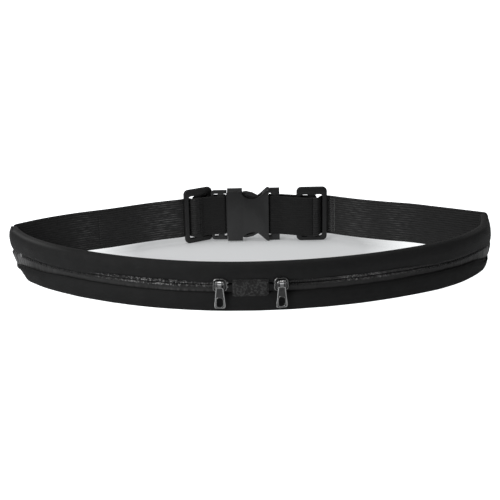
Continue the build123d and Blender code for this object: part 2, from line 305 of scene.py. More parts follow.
class Shader:
    """A procedural material made node by node."""

    def __init__(self, name):
        self.material = bpy.data.materials.new(name)
        self.material.use_nodes = True
        self.tree = self.material.node_tree
        self.surface = self.tree.nodes["Principled BSDF"]
        coordinates = self.tree.nodes.new("ShaderNodeTexCoord")
        self.uv, self.object = coordinates.outputs["UV"], coordinates.outputs["Object"]
        self.height = None

    def put(self, socket, value):
        if isinstance(value, bpy.types.NodeSocket):
            self.tree.links.new(value, socket)
        else:
            socket.default_value = value

    def set(self, **values):
        for name, value in values.items():
            self.put(self.surface.inputs[name.replace("_", " ")], value)

    def math(self, operation, a, b=0.0, c=0.0):
        node = self.tree.nodes.new("ShaderNodeMath")
        node.operation = operation
        for socket, value in zip(node.inputs, (a, b, c)):
            self.put(socket, value)
        return node.outputs[0]

    def split(self, vector):
        node = self.tree.nodes.new("ShaderNodeSeparateXYZ")
        self.put(node.inputs[0], vector)
        return node.outputs

    def stretch(self, vector, scale):
        node = self.tree.nodes.new("ShaderNodeMapping")
        self.put(node.inputs["Vector"], vector)
        node.inputs["Scale"].default_value = scale
        return node.outputs[0]

    def noise(self, vector, scale, detail=3.0, rough=0.55):
        node = self.tree.nodes.new("ShaderNodeTexNoise")
        self.put(node.inputs["Vector"], vector)
        node.inputs["Scale"].default_value = scale
        node.inputs["Detail"].default_value = detail
        node.inputs["Roughness"].default_value = rough
        return node.outputs[0]

    def span(self, value, low, high, to_low=0.0, to_high=1.0):
        node = self.tree.nodes.new("ShaderNodeMapRange")
        for socket, number in zip(node.inputs, (value, low, high, to_low, to_high)):
            self.put(socket, number)
        return node.outputs[0]

    def mix(self, share, a, b):
        node = self.tree.nodes.new("ShaderNodeMix")
        node.data_type = "RGBA"
        self.put(node.inputs[0], share)
        self.put(node.inputs[6], a)
        self.put(node.inputs[7], b)
        return node.outputs[2]

    def attribute(self, name):
        node = self.tree.nodes.new("ShaderNodeAttribute")
        node.attribute_name = name
        return node.outputs["Fac"]

    def wave(self, value, pitch):
        """A sine of a length in metres, from 0 to 1."""
        turn = self.math("MULTIPLY", value, 2 * math.pi / (pitch * 0.001))
        return self.math("MULTIPLY_ADD", self.math("SINE", turn), 0.5, 0.5)

    def bump(self, height, distance, strength=1.0):
        node = self.tree.nodes.new("ShaderNodeBump")
        node.inputs["Strength"].default_value = strength
        node.inputs["Distance"].default_value = distance * 0.001
        self.put(node.inputs["Height"], height)
        if self.height is not None:
            self.tree.links.new(self.height, node.inputs["Normal"])
        self.height = node.outputs[0]
        self.tree.links.new(self.height, self.surface.inputs["Normal"])


def grey(value, warm=0.0):
    return (value * (1 + warm), value, value * (1 - warm), 1.0)


def cloth_material(name, dark, light, pitch, rough=0.72, sheen=0.25, wrinkle=0.35, warm=0.0,
                   highlight_grey=0.1, speckle=0.0):
    """Stretch cloth: fine weave, fibres, soft wrinkles, uneven dye and a painted highlight where the shine
    attribute is set.
    """
    s = Shader(name)
    u, v, _ = s.split(s.uv)
    weave = s.math("MULTIPLY", s.wave(u, pitch), s.wave(v, pitch * 1.15))
    blotch = s.noise(s.uv, 90, 4)
    fibre = s.noise(s.stretch(s.uv, (1, 2.6, 1)), 2600, 2)
    shine = s.attribute("shine")
    share = s.math("MULTIPLY_ADD", blotch, 0.7, s.math("MULTIPLY", fibre, 0.45))
    share = s.math("MULTIPLY_ADD", weave, 0.3, s.math("SUBTRACT", share, 0.25))
    if speckle:
        dots = s.span(s.noise(s.object, 620, 1), 0.5, 0.62)
        share = s.math("MULTIPLY_ADD", dots, speckle, share)
    plain = s.mix(s.span(share, 0.1, 1.1), grey(dark, warm), grey(light, warm))
    # painted highlight: the shine attribute, broken up by the fibres, pulls the colour toward a light grey
    s.set(Base_Color=s.mix(s.math("MULTIPLY", shine, fibre), plain, grey(highlight_grey)))
    s.set(Roughness=s.span(share, 0, 1.2, rough + 0.1, rough - 0.15))
    s.set(Sheen_Weight=sheen, Sheen_Roughness=0.45, Specular_IOR_Level=0.3)
    s.bump(s.noise(s.stretch(s.uv, (1, 0.6, 1)), 70, 3), wrinkle)
    s.bump(weave, 0.07)
    s.bump(fibre, 0.03)
    return s.material


def webbing_material(name, dark, light):
    """Ribbed elastic webbing: woven floats across each rib, with painted highlight patches and painted
    glints along the rib crests.
    """
    s = Shader(name)
    u, v, _ = s.split(s.uv)
    floats = s.wave(u, 0.9)
    picks = s.math("MULTIPLY", floats, s.wave(v, 2.24))
    patch = s.noise(s.stretch(s.uv, (1.0, 0.35, 1)), 38, 3)
    thread = s.noise(s.stretch(s.uv, (0.16, 1.2, 1)), 900, 2)
    # painted highlight: the shine attribute plus random patches, turned into bright dashes on the rib
    # crests
    shine = s.math("ADD", s.attribute("shine"), s.span(patch, 0.55, 0.8, 0.0, 0.2))
    crest = s.span(s.wave(v, 2.2353), 0.35, 0.95)
    glint = s.math("MULTIPLY", s.math("MULTIPLY", s.span(thread, 0.42, 0.66), crest), shine)
    share = s.math("MULTIPLY_ADD", picks, 0.25, s.math("MULTIPLY", thread, 0.3))
    share = s.math("MULTIPLY_ADD", glint, 1.0, share)
    s.set(Base_Color=s.mix(s.span(share, 0.1, 1.2), grey(dark), grey(light)))
    s.set(Roughness=s.span(shine, 0, 1.2, 0.66, 0.4))
    s.set(Sheen_Weight=0.04, Sheen_Roughness=0.4, Specular_IOR_Level=0.35)
    s.bump(picks, 0.12)
    s.bump(thread, 0.05)
    return s.material


def tape_material(name, dark, light):
    """Zip tape: fine cross ribs, with painted highlight streaks where the shine attribute is set."""
    s = Shader(name)
    u, v, _ = s.split(s.uv)
    ribs = s.wave(u, 0.8)
    streak = s.noise(s.stretch(s.uv, (3.2, 0.25, 1)), 160, 3)
    shine = s.attribute("shine")
    # painted highlight streaks, scaled by the shine attribute
    glint = s.math("MULTIPLY", s.span(streak, 0.4, 0.7), shine)
    share = s.math("MULTIPLY_ADD", ribs, 0.2, s.math("MULTIPLY_ADD", glint, 1.1, 0.05))
    s.set(Base_Color=s.mix(share, grey(dark), grey(light)))
    s.set(Roughness=s.span(share, 0, 1, 0.6, 0.34))
    s.set(Sheen_Weight=0.05, Specular_IOR_Level=0.4)
    s.bump(ribs, 0.1)
    s.bump(s.noise(s.uv, 300, 3), 0.2)
    return s.material


def plastic_material(name, dark, light, rough):
    """Moulded plastic with a fine spark-eroded grain and light scuffs."""
    s = Shader(name)
    grain = s.noise(s.object, 3800, 2)
    cloud = s.noise(s.object, 70, 4)
    scuff = s.span(s.noise(s.stretch(s.object, (1, 1, 5)), 420, 4), 0.62, 0.75)
    share = s.math("MULTIPLY_ADD", cloud, 0.6, s.math("MULTIPLY", scuff, 0.35))
    s.set(Base_Color=s.mix(share, grey(dark, -0.01), grey(light, -0.02)))
    s.set(Roughness=s.span(share, 0.1, 0.9, rough + 0.06, rough - 0.06))
    s.set(Specular_IOR_Level=0.5)
    s.bump(grain, 0.02)
    s.bump(cloud, 0.04)
    return s.material


def metal_material(name, dark, light, rough, edge_highlight=0.6):
    """Plated zinc: satin, with fine scratches and a painted highlight that lightens the sharp edges."""
    s = Shader(name)
    geometry = s.tree.nodes.new("ShaderNodeNewGeometry")
    # painted highlight: sharp edges get a lighter colour
    edge = s.span(geometry.outputs["Pointiness"], 0.5, 0.56)
    scratch = s.span(s.noise(s.stretch(s.object, (1, 1, 9)), 900, 4), 0.58, 0.7)
    cloud = s.noise(s.object, 300, 3)
    share = s.math("MULTIPLY_ADD", edge, edge_highlight, s.math("MULTIPLY", scratch, 0.3))
    share = s.math("MULTIPLY_ADD", cloud, 0.35, share)
    s.set(Metallic=1.0, Base_Color=s.mix(s.span(share, 0.1, 1), grey(dark), grey(light)))
    s.set(Roughness=s.span(cloud, 0.3, 0.7, rough - 0.06, rough + 0.08))
    s.bump(scratch, 0.01)
    s.bump(cloud, 0.03)
    return s.material


def coil_material(name, dark, light):
    """Glossy nylon coil with painted sparkle highlights, scattered in cells and scaled by the shine
    attribute.
    """
    s = Shader(name)
    cells = s.noise(s.object, 600, 1)
    bright = s.span(cells, 0.48, 0.58)
    drift = s.span(s.noise(s.object, 60, 2), 0.35, 0.65, 0.35, 1.0)
    # painted highlight: the sparkles lift the colour almost to white
    lit = s.math("MULTIPLY", s.math("MULTIPLY", bright, drift), s.attribute("shine"))
    s.set(Base_Color=s.mix(lit, grey(dark), grey(light)))
    s.set(Roughness=s.span(cells, 0.3, 0.7, 0.36, 0.2), Specular_IOR_Level=0.8)
    s.bump(s.noise(s.object, 1500, 2), 0.03)
    return s.material


panel_cloth = cloth_material("panel_cloth", 0.006, 0.013, 0.55, rough=0.66, sheen=0.06, warm=-0.02)
# a lighter, warmer copy of the panel cloth, used only on the left binding: painted light on the lit left
# end
lit_end_cloth = cloth_material("lit_end_cloth", 0.012, 0.028, 0.5, rough=0.6, sheen=0.1, warm=0.01)
lining_cloth = cloth_material("lining_cloth", 0.004, 0.009, 0.4, wrinkle=0.2)
patch_cloth = cloth_material("patch_cloth", 0.006, 0.05, 0.9, rough=0.8, wrinkle=0.15, speckle=0.9)
webbing = webbing_material("webbing", 0.004, 0.14)
# a darker copy of the webbing with dimmer painted highlights, for the loops: painted shade
shaded_webbing = webbing_material("shaded_webbing", 0.003, 0.04)
zip_tape = tape_material("zip_tape", 0.006, 0.15)
coil_nylon = coil_material("coil_nylon", 0.01, 0.95)
thread = cloth_material("thread", 0.006, 0.03, 0.3, rough=0.5, wrinkle=0.0)
light_thread = cloth_material("light_thread", 0.08, 0.3, 0.3, rough=0.45, wrinkle=0.0)
buckle_plastic = plastic_material("buckle_plastic", 0.022, 0.042, 0.34)
glide_plastic = plastic_material("glide_plastic", 0.008, 0.018, 0.42)
slider_metal = metal_material("slider_metal", 0.012, 0.32, 0.3, 0.9)
pull_metal = metal_material("pull_metal", 0.02, 0.16, 0.36, 0.8)
pull_rim = metal_material("pull_rim", 0.16, 0.75, 0.2, 0.9)


def finish_piece(obj, body, nodes):
    """Ride the piece on its body and hide the CAD nodes it replaces."""
    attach(obj, body)
    if nodes:
        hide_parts(*nodes)
    return obj


# ---- stitches ----


def stitch(start, end, radius, index=0):
    """One thread stitch between two points, sunk at both ends."""
    start, end = np.array(start, float), np.array(end, float)
    run = end - start
    size = np.linalg.norm(run)
    run /= size
    side = np.cross(run, (0.1, 0.35, 0.93))
    side /= np.linalg.norm(side)
    up = np.cross(run, side)
    rings = []
    for share, swell in ((0.0, 0.35), (0.18, 0.9), (0.5, 1.0), (0.82, 0.9), (1.0, 0.35)):
        middle = start + run * size * share
        rings.append([middle + radius * swell * (math.cos(a) * side + math.sin(a) * up)
                      for a in np.linspace(0, 2 * math.pi, 6, endpoint=False)])
    return loft(rings, [0, 1, 2, 3, 4], range(7), index=index)


def stitch_row(point, start, end, pitch=3.0, size=2.3, radius=0.26, index=0):
    """Stitches at even distances; point(distance) gives the place on the cloth."""
    parts = []
    for begin in np.arange(start, end - size, pitch):
        parts.append(stitch(point(begin), point(begin + size), radius, index))
    return parts


# ---- pouch cloth ----


def cover(length):
    """How far the upper panel's lower edge drops below its nominal line."""
    drop = 1.2 + 2.2 * bell(length, -42, 16) + 0.6 * bell(length, -84, 7)
    drop += 3.9 * smooth(-length, 116, 148) + 0.4 * bell(length, -105, 8)
    drop += 2.2 * bell(length, 48, 12) + 0.7 * bell(length, 98, 10)
    drop += 3.7 * smooth(length, 124, 165) + 3.4 * smooth(length, 205, 246)
    return float(drop) + 0.35 * ripple(length, scale=9, seed=1.7)


def rise(length):
    """How far the lower panel's upper edge wanders."""
    drop = 2.2 * smooth(-length, 165, 200) + 3.6 * smooth(-length, 205, 240)
    drop += 1.5 * smooth(length, 175, 205) + 7.0 * smooth(length, 208, 246)
    drop += 3.0 * smooth(-length, 226, 244)
    return 0.4 * ripple(length, scale=22, seed=5.1) + 0.2 * ripple(length, scale=7, seed=2.2) - float(drop)


def pucker(length, z, line, seed):
    """Small gathers beside a bonded seam."""
    near = math.exp(-((z - line) / 2.6) ** 2)
    return near * 0.16 * ripple(length, z, scale=6, seed=seed)


def upper_section(length):
    """Outline of the upper panel: hem beside the zip, front, fold over the top."""
    edge = panel_top - cover(length)
    path = [(1.05, edge + 6), (1.05, edge + 0.4), (0.6, edge - 0.1), (0.2, edge + 0.6),
            (-1.3, edge + 4.2), (-2.2, 33.5), (-1.5, 38.0), (0.3, 40.8), (2.0, 41.6), (4.6, 41.4),
            (5.5, 40.4), (5.6, 36.5)]
    line = evenly(rounded(path, (0.3, 0.4, 0.6, 8, 14, 10, 2, 1.4, 1.2, 0.8), turn=14), 56)
    line[:, 0] += [pucker(length, z, edge + 2.2, 0.6) + 0.3 * ripple(length, z, scale=24, seed=3.3)
                   if d < 3 else 0 for d, z in line]
    return band(line, 0.55)


def lower_section(length):
    """Outline of the lower panel: hem beside the zip, front, fold under the foot."""
    edge = panel_low + rise(length)
    path = [(1.05, edge - 5), (1.05, edge - 0.4), (0.6, edge + 0.1), (0.15, edge - 0.5),
            (-1.1, edge - 2.6), (-2.0, 9.0), (-1.5, 3.5), (-0.2, 0.5), (2.0, 0.2), (4.6, 0.3),
            (5.5, 1.0), (5.6, 4.5)]
    line = evenly(rounded(path, (0.3, 0.4, 0.6, 6, 14, 10, 2, 1.4, 1.2, 0.8), turn=14), 56)
    corner = 1.0 + 2.2 * float(smooth(-length, 205, 235))
    line[:, 0] += [pucker(length, z, edge - 2.2, 1.1)
                   + 0.3 * corner * ripple(length, z, scale=20 - 3 * corner, seed=7.7)
                   if d < 3 else 0 for d, z in line]
    return band(line, 0.55)


def hem_shine(length, z):
    """Painted highlight along the top hem near both ends, stronger on the left."""
    value = 1.1 * bell(z, 40.8, 1.1) * smooth(-length, 150, 205)
    value += 0.6 * bell(z, 41.0, 0.9) * smooth(length, 175, 215)
    return float(value)


step = 1.1
whole = spaced(left_end, right_end, step)
upper_panel = make("upper_panel", [wall(whole, upper_section, shine=hem_shine)], [panel_cloth])
finish_piece(upper_panel, "belt", ["upper_front_panel"])
lower_panel = make("lower_panel", [wall(whole, lower_section)], [panel_cloth])
finish_piece(lower_panel, "belt", ["lower_front_panel"])


def back_section(length):
    line = np.array([(5.0, z) for z in np.linspace(3.0, 38.5, 18)])
    line[:, 0] += [0.25 * ripple(length, z, scale=16, seed=9.1) for _, z in line]
    return band(line, 0.5)


rear = make("rear_panel", [wall(whole, back_section)], [panel_cloth])
finish_piece(rear, "belt", ["back_panel"])


def lining_section(length):
    line = np.array([(3.8, z) for z in np.linspace(3.0, 38.5, 15)])
    line[:, 0] += [0.3 * ripple(length, z, scale=18, seed=4.4) for _, z in line]
    return band(line, 0.35)


# ---- centre patch ----


def patch_depth(z):
    """The patch is sewn down at its foot and bridges the zips above."""
    return float(np.interp(z, [12, 13.2, 15.5, 19, 25.5, 28.3], [-0.55, -0.75, -1.3, -1.65, -1.6, -1.15]))


def patch_section(length):
    side = 0.35 * smooth(abs(length), patch_half - 2.0, patch_half)
    low, high = patch_heights
    line = np.array([(patch_depth(z) + side, z) for z in np.linspace(low + 0.5, high - 0.5, 26)])
    return band(line, 0.8 - 0.5 * float(side))


patch_lengths = spaced(-patch_half, patch_half, 0.6)
border = []
low, high = patch_heights
for z in (low + 1.9, high - 1.7):
    border += stitch_row(lambda s, z=z: on_face(s, patch_depth(z) - 0.42, z), -12.6, 12.6, 2.4, 1.9)
for s in (-patch_half + 1.7, patch_half - 1.7):
    border += stitch_row(lambda z, s=s: on_face(s, patch_depth(z) - 0.38, z), low + 2, high - 1.6, 2.4, 1.9)
patch = make("sewn_patch", [wall(patch_lengths, patch_section)], [patch_cloth])
finish_piece(patch, "belt", ["centre_patch"])
finish_piece(make("patch_stitching", border, [thread]), "belt", [])

# ---- zips ----


def tape_section(low, high, depth):
    def section(length):
        end = face_length(1 if length > 0 else -1)
        flare = tape_flare * float(smooth(abs(length), end - 30, end - 2))
        foot, top = panel_low + rise(length), panel_top - cover(length)
        line = np.array([(depth - flare * float(smooth(z, foot - 3, foot + 2)
                                                * (1 - smooth(z, top - 2, top + 2))), z)
                         for z in np.linspace(low, high, 20)])
        wave = 0.22 * ripple(length, scale=11, seed=6.0)
        return band(line + np.array([[wave, 0]]), 0.5)
    return section


# Painted highlight strength of the tapes: rising toward both ends, with a line along the lower tape left of
# the middle.
def tape_shine(length, z):
    return float(0.05 + 0.2 * smooth(-length, 160, 200) + 1.2 * smooth(-length, 205, 236)
                 + 0.2 * smooth(length, 165, 205) + 1.2 * smooth(length, 215, 247)
                 + 0.6 * bell(z, 17.2, 0.8) * bell(length, -65, 36))


def coil_shine(length):
    """Painted highlight strength of the coil along the zips."""
    value = 0.95 * bell(length, -88, 34) + 0.4 * bell(length, -45, 16) + 0.42 * bell(length, 96, 38)
    return float(value)


def coil_row(side, upper, wire=0.4, pitch=1.32):
    """One row of the spiral coil, flattened, with its sewing thread."""
    inner, outer = zip_inner + stop_length, face_length(side) - zip_short - stop_length
    reach = (0.28, 2.75)
    middle = coil_mid_z + (1 if upper else -1) * sum(reach) / 2
    half = (reach[1] - reach[0]) / 2 - wire
    around = 16
    turns = int((outer - inner) / pitch)
    rings = []
    for k in range(turns * around + 1):
        share = k / around
        angle = 2 * math.pi * share
        length = side * (inner + share * pitch)
        flat = math.copysign(abs(math.cos(angle)) ** 0.7, math.cos(angle))
        z = middle + half * flat * (1 if upper else -1)
        depth = -0.15 - 0.62 * math.sin(angle)
        here = np.array(on_face(length, depth, z))
        rings.append((here, length))
    points = np.array([p for p, _ in rings])
    run = np.gradient(points, axis=0)
    run /= np.linalg.norm(run, axis=1)[:, None]
    tube = []
    for p, t in zip(points, run):
        a = np.cross(t, (0.3, 0.2, 0.93))
        a /= np.linalg.norm(a)
        b = np.cross(t, a)
        tube.append([p + wire * (math.cos(q) * a + math.sin(q) * b)
                     for q in np.linspace(0, 2 * math.pi, 6, endpoint=False)])
    shine = [[coil_shine(length)] * 6 for _, length in rings]
    coil = loft(tube, np.arange(len(tube)) * 0.3, range(7), shine=shine)
    sew_z = middle + (0.55 if upper else -0.55)
    sewn = stitch_row(lambda s: on_face(side * s, -1.1, sew_z), inner, outer, 2.64, 2.3, 0.22, 1)
    return [coil, *sewn]


def clip(side, start, low, high):
    """A pressed metal stop with softened edges."""
    middle, half = (low + high) / 2, (high - low) / 2
    rings, lengths = [], []
    for share, size in ((0, 0.6), (0.08, 0.86), (0.2, 1), (0.45, 1), (0.5, 0.9), (0.55, 1),
                        (0.8, 1), (0.92, 0.86), (1, 0.6)):
        length = side * (start + share * (stop_length - 0.1))
        outline = [(1.15, half), (-0.5, half), (-0.85, half - 0.35), (-0.85, 0.35 - half),
                   (-0.5, -half), (1.15, -half)]
        rings.append([on_face(length, d * (size if d < 0 else 1), coil_mid_z + middle + h * size)
                      for d, h in outline])
        lengths.append(length)
    return loft(rings, lengths, range(7))


for side, name in ((-1, "left"), (1, "right")):
    inner, outer = zip_inner, face_length(side) - zip_short
    run = spaced(side * 12.5, side * (face_length(side) - 0.3), step)
    if side < 0:
        run = run[::-1]
    for level, low, high in (("upper", coil_mid_z + 0.8, coil_mid_z + 9.5),
                             ("lower", coil_mid_z - 19, coil_mid_z - 0.8)):
        tape = make(f"{name}_{level}_tape",
                    [wall(run, tape_section(low, high, 1.75), shine=tape_shine)], [zip_tape])
        finish_piece(tape, "belt", [f"{name}_zip_{level}_tape"])
        coil = make(f"{name}_{level}_coil", coil_row(side, level == "upper"), [coil_nylon, thread])
        finish_piece(coil, "belt", [f"{name}_zip_{level}_coil"])
    clips = [clip(side, inner, 0.5, 2.9), clip(side, inner, -2.9, -0.5),
             clip(side, outer - stop_length, -2.9, 2.9)]
    finish_piece(make(f"{name}_stops", clips, [slider_metal]), "belt", [f"{name}_zip_stops"])
    lining = make(f"{name}_lining", [wall(spaced(side * 6, side * outer, 3), lining_section)],
                  [lining_cloth])
    finish_piece(lining, "belt", [f"{name}_pocket_lining"])

# ---- flat hardware ----


def corner_line(points, radii, turn=10.0):
    """A closed outline through corner points with its corners rounded."""
    points = [tuple(p) for p in points]
    start = ((points[-1][0] + points[0][0]) / 2, (points[-1][1] + points[0][1]) / 2)
    return rounded([start, *points, start], radii, turn=turn)[:-1]


def box_line(width, height, radius, middle=(0, 0), turn=10.0):
    x, z = middle
    w, h = width / 2, height / 2
    return corner_line([(x - w, z - h), (x + w, z - h), (x + w, z + h), (x - w, z + h)],
                       (radius,) * 4, turn)


def plate(outlines, thick, bevel, smoothness=3):
    """A flat plate with holes and rounded edges, in XZ with its thickness along Y."""
    curve = bpy.data.curves.new("outline", "CURVE")
    curve.dimensions = "2D"
    curve.fill_mode = "BOTH"
    curve.extrude = (thick / 2 - bevel) * 0.001
    curve.bevel_depth = bevel * 0.001
    curve.bevel_resolution = smoothness
    curve.offset = -bevel * 0.001
    for outline in outlines:
        spline = curve.splines.new("POLY")
        spline.points.add(len(outline) - 1)
        for point, (x, z) in zip(spline.points, outline):
            point.co = (x * 0.001, z * 0.001, 0, 1)
        spline.use_cyclic_u = True
    temporary = bpy.data.objects.new("outline", curve)
    bpy.context.scene.collection.objects.link(temporary)
    bpy.context.view_layer.update()
    mesh = bpy.data.meshes.new_from_object(temporary.evaluated_get(
        bpy.context.evaluated_depsgraph_get()))
    bpy.data.objects.remove(temporary)
    bpy.data.curves.remove(curve)
    work = bmesh.new()
    work.from_mesh(mesh)
    bmesh.ops.remove_doubles(work, verts=work.verts, dist=1e-6)
    points = np.array([v.co for v in work.verts]) * 1000
    work.verts.index_update()
    faces = [tuple(v.index for v in f.verts) for f in work.faces]
    work.free()
    bpy.data.meshes.remove(mesh)
    points = np.stack([points[:, 0], -points[:, 2], points[:, 1]], axis=1)
    uvs = [tuple((points[i][0], points[i][2]) for i in face) for face in faces]
    return points, faces, uvs, 0


def moved(part, offset=(0, 0, 0), index=None, turn=0.0):
    """A part turned about Z by an angle in degrees, then shifted."""
    points = np.asarray(part[0], float)
    c, s = math.cos(math.radians(turn)), math.sin(math.radians(turn))
    x, y = points[:, 0] * c - points[:, 1] * s, points[:, 0] * s + points[:, 1] * c
    points = np.stack([x, y, points[:, 2]], axis=1) + np.array(offset, float)
    return (points, part[1], part[2], part[3] if index is None else index)


def revolve_x(profile, sides=20):
    """A turned part about the X axis from (x, radius) points."""
    rings = [[(x, r * math.cos(a), r * math.sin(a))
              for a in np.linspace(0, 2 * math.pi, sides, endpoint=False)] for x, r in profile]
    return loft(rings, [x for x, _ in profile], range(sides + 1))


def shade(obj, angle=35):
    """Smooth faces with sharp creases kept."""
    work = bmesh.new()
    work.from_mesh(obj.data)
    bmesh.ops.recalc_face_normals(work, faces=work.faces)
    for edge in work.edges:
        if len(edge.link_faces) == 2 and edge.calc_face_angle(0) > math.radians(angle):
            edge.smooth = False
    work.to_mesh(obj.data)
    work.free()


def from_cad(name, node, bevel, material, body):
    """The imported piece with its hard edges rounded."""
    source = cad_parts[node]
    bpy.context.view_layer.update()
    mesh = source.data.copy()
    mesh.transform(source.matrix_world)
    mesh.materials.clear()
    work = bmesh.new()
    work.from_mesh(mesh)
    bmesh.ops.remove_doubles(work, verts=work.verts, dist=2e-6)
    bmesh.ops.dissolve_limit(work, angle_limit=math.radians(1.0), verts=work.verts, edges=work.edges)
    sharp = [e for e in work.edges if len(e.link_faces) == 2
             and e.calc_face_angle(0) > math.radians(28)]
    bmesh.ops.bevel(work, geom=sharp, offset=bevel * 0.001, offset_type="OFFSET", segments=3,
                    profile=0.5, affect="EDGES", clamp_overlap=True)
    bmesh.ops.recalc_face_normals(work, faces=work.faces)
    work.to_mesh(mesh)
    work.free()
    mesh.polygons.foreach_set("use_smooth", [True] * len(mesh.polygons))
    mesh.materials.append(material)
    obj = bpy.data.objects.new(name, mesh)
    bpy.context.scene.collection.objects.link(obj)
    return finish_piece(obj, body, [node])


for side, name, glide in ((-1, "left", left_glide), (1, "right", right_glide)):
    width, height, thick = glide_size
    slot = width / 2 - glide_rim - glide_bar / 2
    across = glide_bar / 2 + slot / 2
    outlines = [box_line(width, height, 4.5)]
    outlines += [box_line(slot, slot_height, 2.1, (x, slot_drop[side])) for x in (-across, across)]
    x, y, turn = glide
    frame_part = moved(plate(outlines, thick, 0.9), (x, y, height / 2), turn=-side * turn)
    obj = make(name + "_ladder", [frame_part], [glide_plastic])
    shade(obj)
    finish_piece(obj, name + "_triglide", [name + "_triglide"])

from_cad("socket_half", "socket_buckle", 0.5, buckle_plastic, "belt")
from_cad("plug_half", "plug_buckle", 0.4, buckle_plastic, "plug")
from_cad("upper_arm", "upper_latch_arm", 0.4, buckle_plastic, "upper_latch_arm")
from_cad("lower_arm", "lower_latch_arm", 0.4, buckle_plastic, "lower_latch_arm")

# ---- sliders and pulls ----


def shield(width, height, levels, taper=0.12):
    """A domed plate in XZ: levels give y and the share of the outline at it."""
    outline = box_line(width, height, 3.6, turn=8)
    outline = [(x * (1 - taper * z / height), z) for x, z in outline]
    rings = [[(x * share, y, z * share) for x, z in outline] for y, share in levels]
    return loft(rings, range(len(levels)), measure(outline, closed=True))


def slider_parts():
    """Front shield, back plate, neck, two ears and the cross pin of a zip slider."""
    rise_z = pin_height - coil_mid_z
    front = shield(11.6, 11.2, [(-0.5, 0.97), (-0.55, 1.0), (-1.6, 1.0), (-2.1, 0.97), (-2.35, 0.9),
                                (-2.2, 0.84), (-2.3, 0.78), (-2.75, 0.6), (-2.9, 0.3), (-2.92, 0.02)])
    back = shield(9.8, 8.8, [(3.1, 0.9), (3.1, 1.0), (2.3, 1.0), (2.25, 0.9)])
    parts = [front, back]
    neck = plate([box_line(2.6, 0.5, 0.2)], 4.6, 0.1, 1)
    parts.append(moved(neck, (0, 0.2, 0)))
    for x in (-2.6, 2.6):
        ear = [(-4.6, 1.45), (-5.5, 1.0), (-5.95, 0.2), (-5.9, -0.8), (-4.9, -1.6), (-2.3, -1.9),
               (-1.9, 1.7)]
        rings = []
        for dx, size in ((-0.6, 0.86), (-0.48, 1.0), (0.48, 1.0), (0.6, 0.86)):
            rings.append([(x + dx, -4.0 + (y + 4.0) * size, rise_z + z * size) for y, z in ear])
        parts.append(loft(rings, range(4), range(8)))
    pin = revolve_x([(-3.55, 0.3), (-3.5, 0.85), (-3.25, 1.0), (-3.15, 0.75), (3.15, 0.75),
                     (3.25, 1.0), (3.5, 0.85), (3.55, 0.3)])
    parts.append(moved(pin, (0, pin_depth, rise_z), index=1))
    return parts


def pull_outline(inset):
    """Outline of the pull tab, set in by a distance."""
    top, foot = 3.0 - inset, 4.5 - inset
    points = [(-foot, -21.5 + inset), (foot, -21.5 + inset), (foot * 0.985, -17.5),
              (top, -3.4 - inset), (-top, -3.4 - inset), (-foot * 0.985, -17.5)]
    corner = max(0.3, 3.4 - inset * 0.8)
    return corner_line(points, (corner, corner, 6, max(0.3, 1.2 - inset / 2),
                                max(0.3, 1.2 - inset / 2), 6))


def pull_parts():
    """Pull tab hanging from the origin: inner plate, raised rims, neck and knuckle."""
    hole = box_line(5.6, 8.2, 2.7, (0, -16.4))
    rim = box_line(6.3, 8.9, 3.1, (0, -16.4))
    parts = [plate([pull_outline(0.5), hole], 0.9, 0.15, 2)]
    parts.append(moved(plate([pull_outline(0), pull_outline(0.8)], 1.6, 0.3), index=1))
    parts.append(moved(plate([rim, hole], 1.5, 0.15), index=1))
    neck = plate([corner_line([(-1.65, -4.2), (1.65, -4.2), (1.65, -0.9), (-1.65, -0.9)],
                              (0.2, 0.2, 0.2, 0.2))], 1.5, 0.3)
    parts.append(moved(neck, index=1))
    knuckle = revolve_x([(-1.65, 0.9), (-1.65, 1.55), (-1.5, 1.7), (1.5, 1.7), (1.65, 1.55),
                         (1.65, 0.9), (-1.65, 0.9)], 24)
    parts.append(moved(knuckle, index=1))
    return parts


for side, name in ((-1, "left"), (1, "right")):
    x, y, heading = face_at(side * slider_middle)
    turn = math.degrees(heading)
    body = [moved(p, (x, y, coil_mid_z), turn=turn) for p in slider_parts()]
    slider = make(name + "_slider_body", body, [slider_metal, pull_rim])
    shade(slider, 40)
    finish_piece(slider, name + "_slider", [name + "_zip_slider"])
    back = np.array((-math.sin(heading), math.cos(heading), 0)) * pin_depth
    place = np.array((x, y, pin_height)) + back
    tab = make(name + "_pull_tab", [moved(p, place, turn=turn) for p in pull_parts()],
               [pull_metal, pull_rim])
    shade(tab, 40)
    finish_piece(tab, name + "_pull", [name + "_zip_pull"])

# ---- end bindings ----


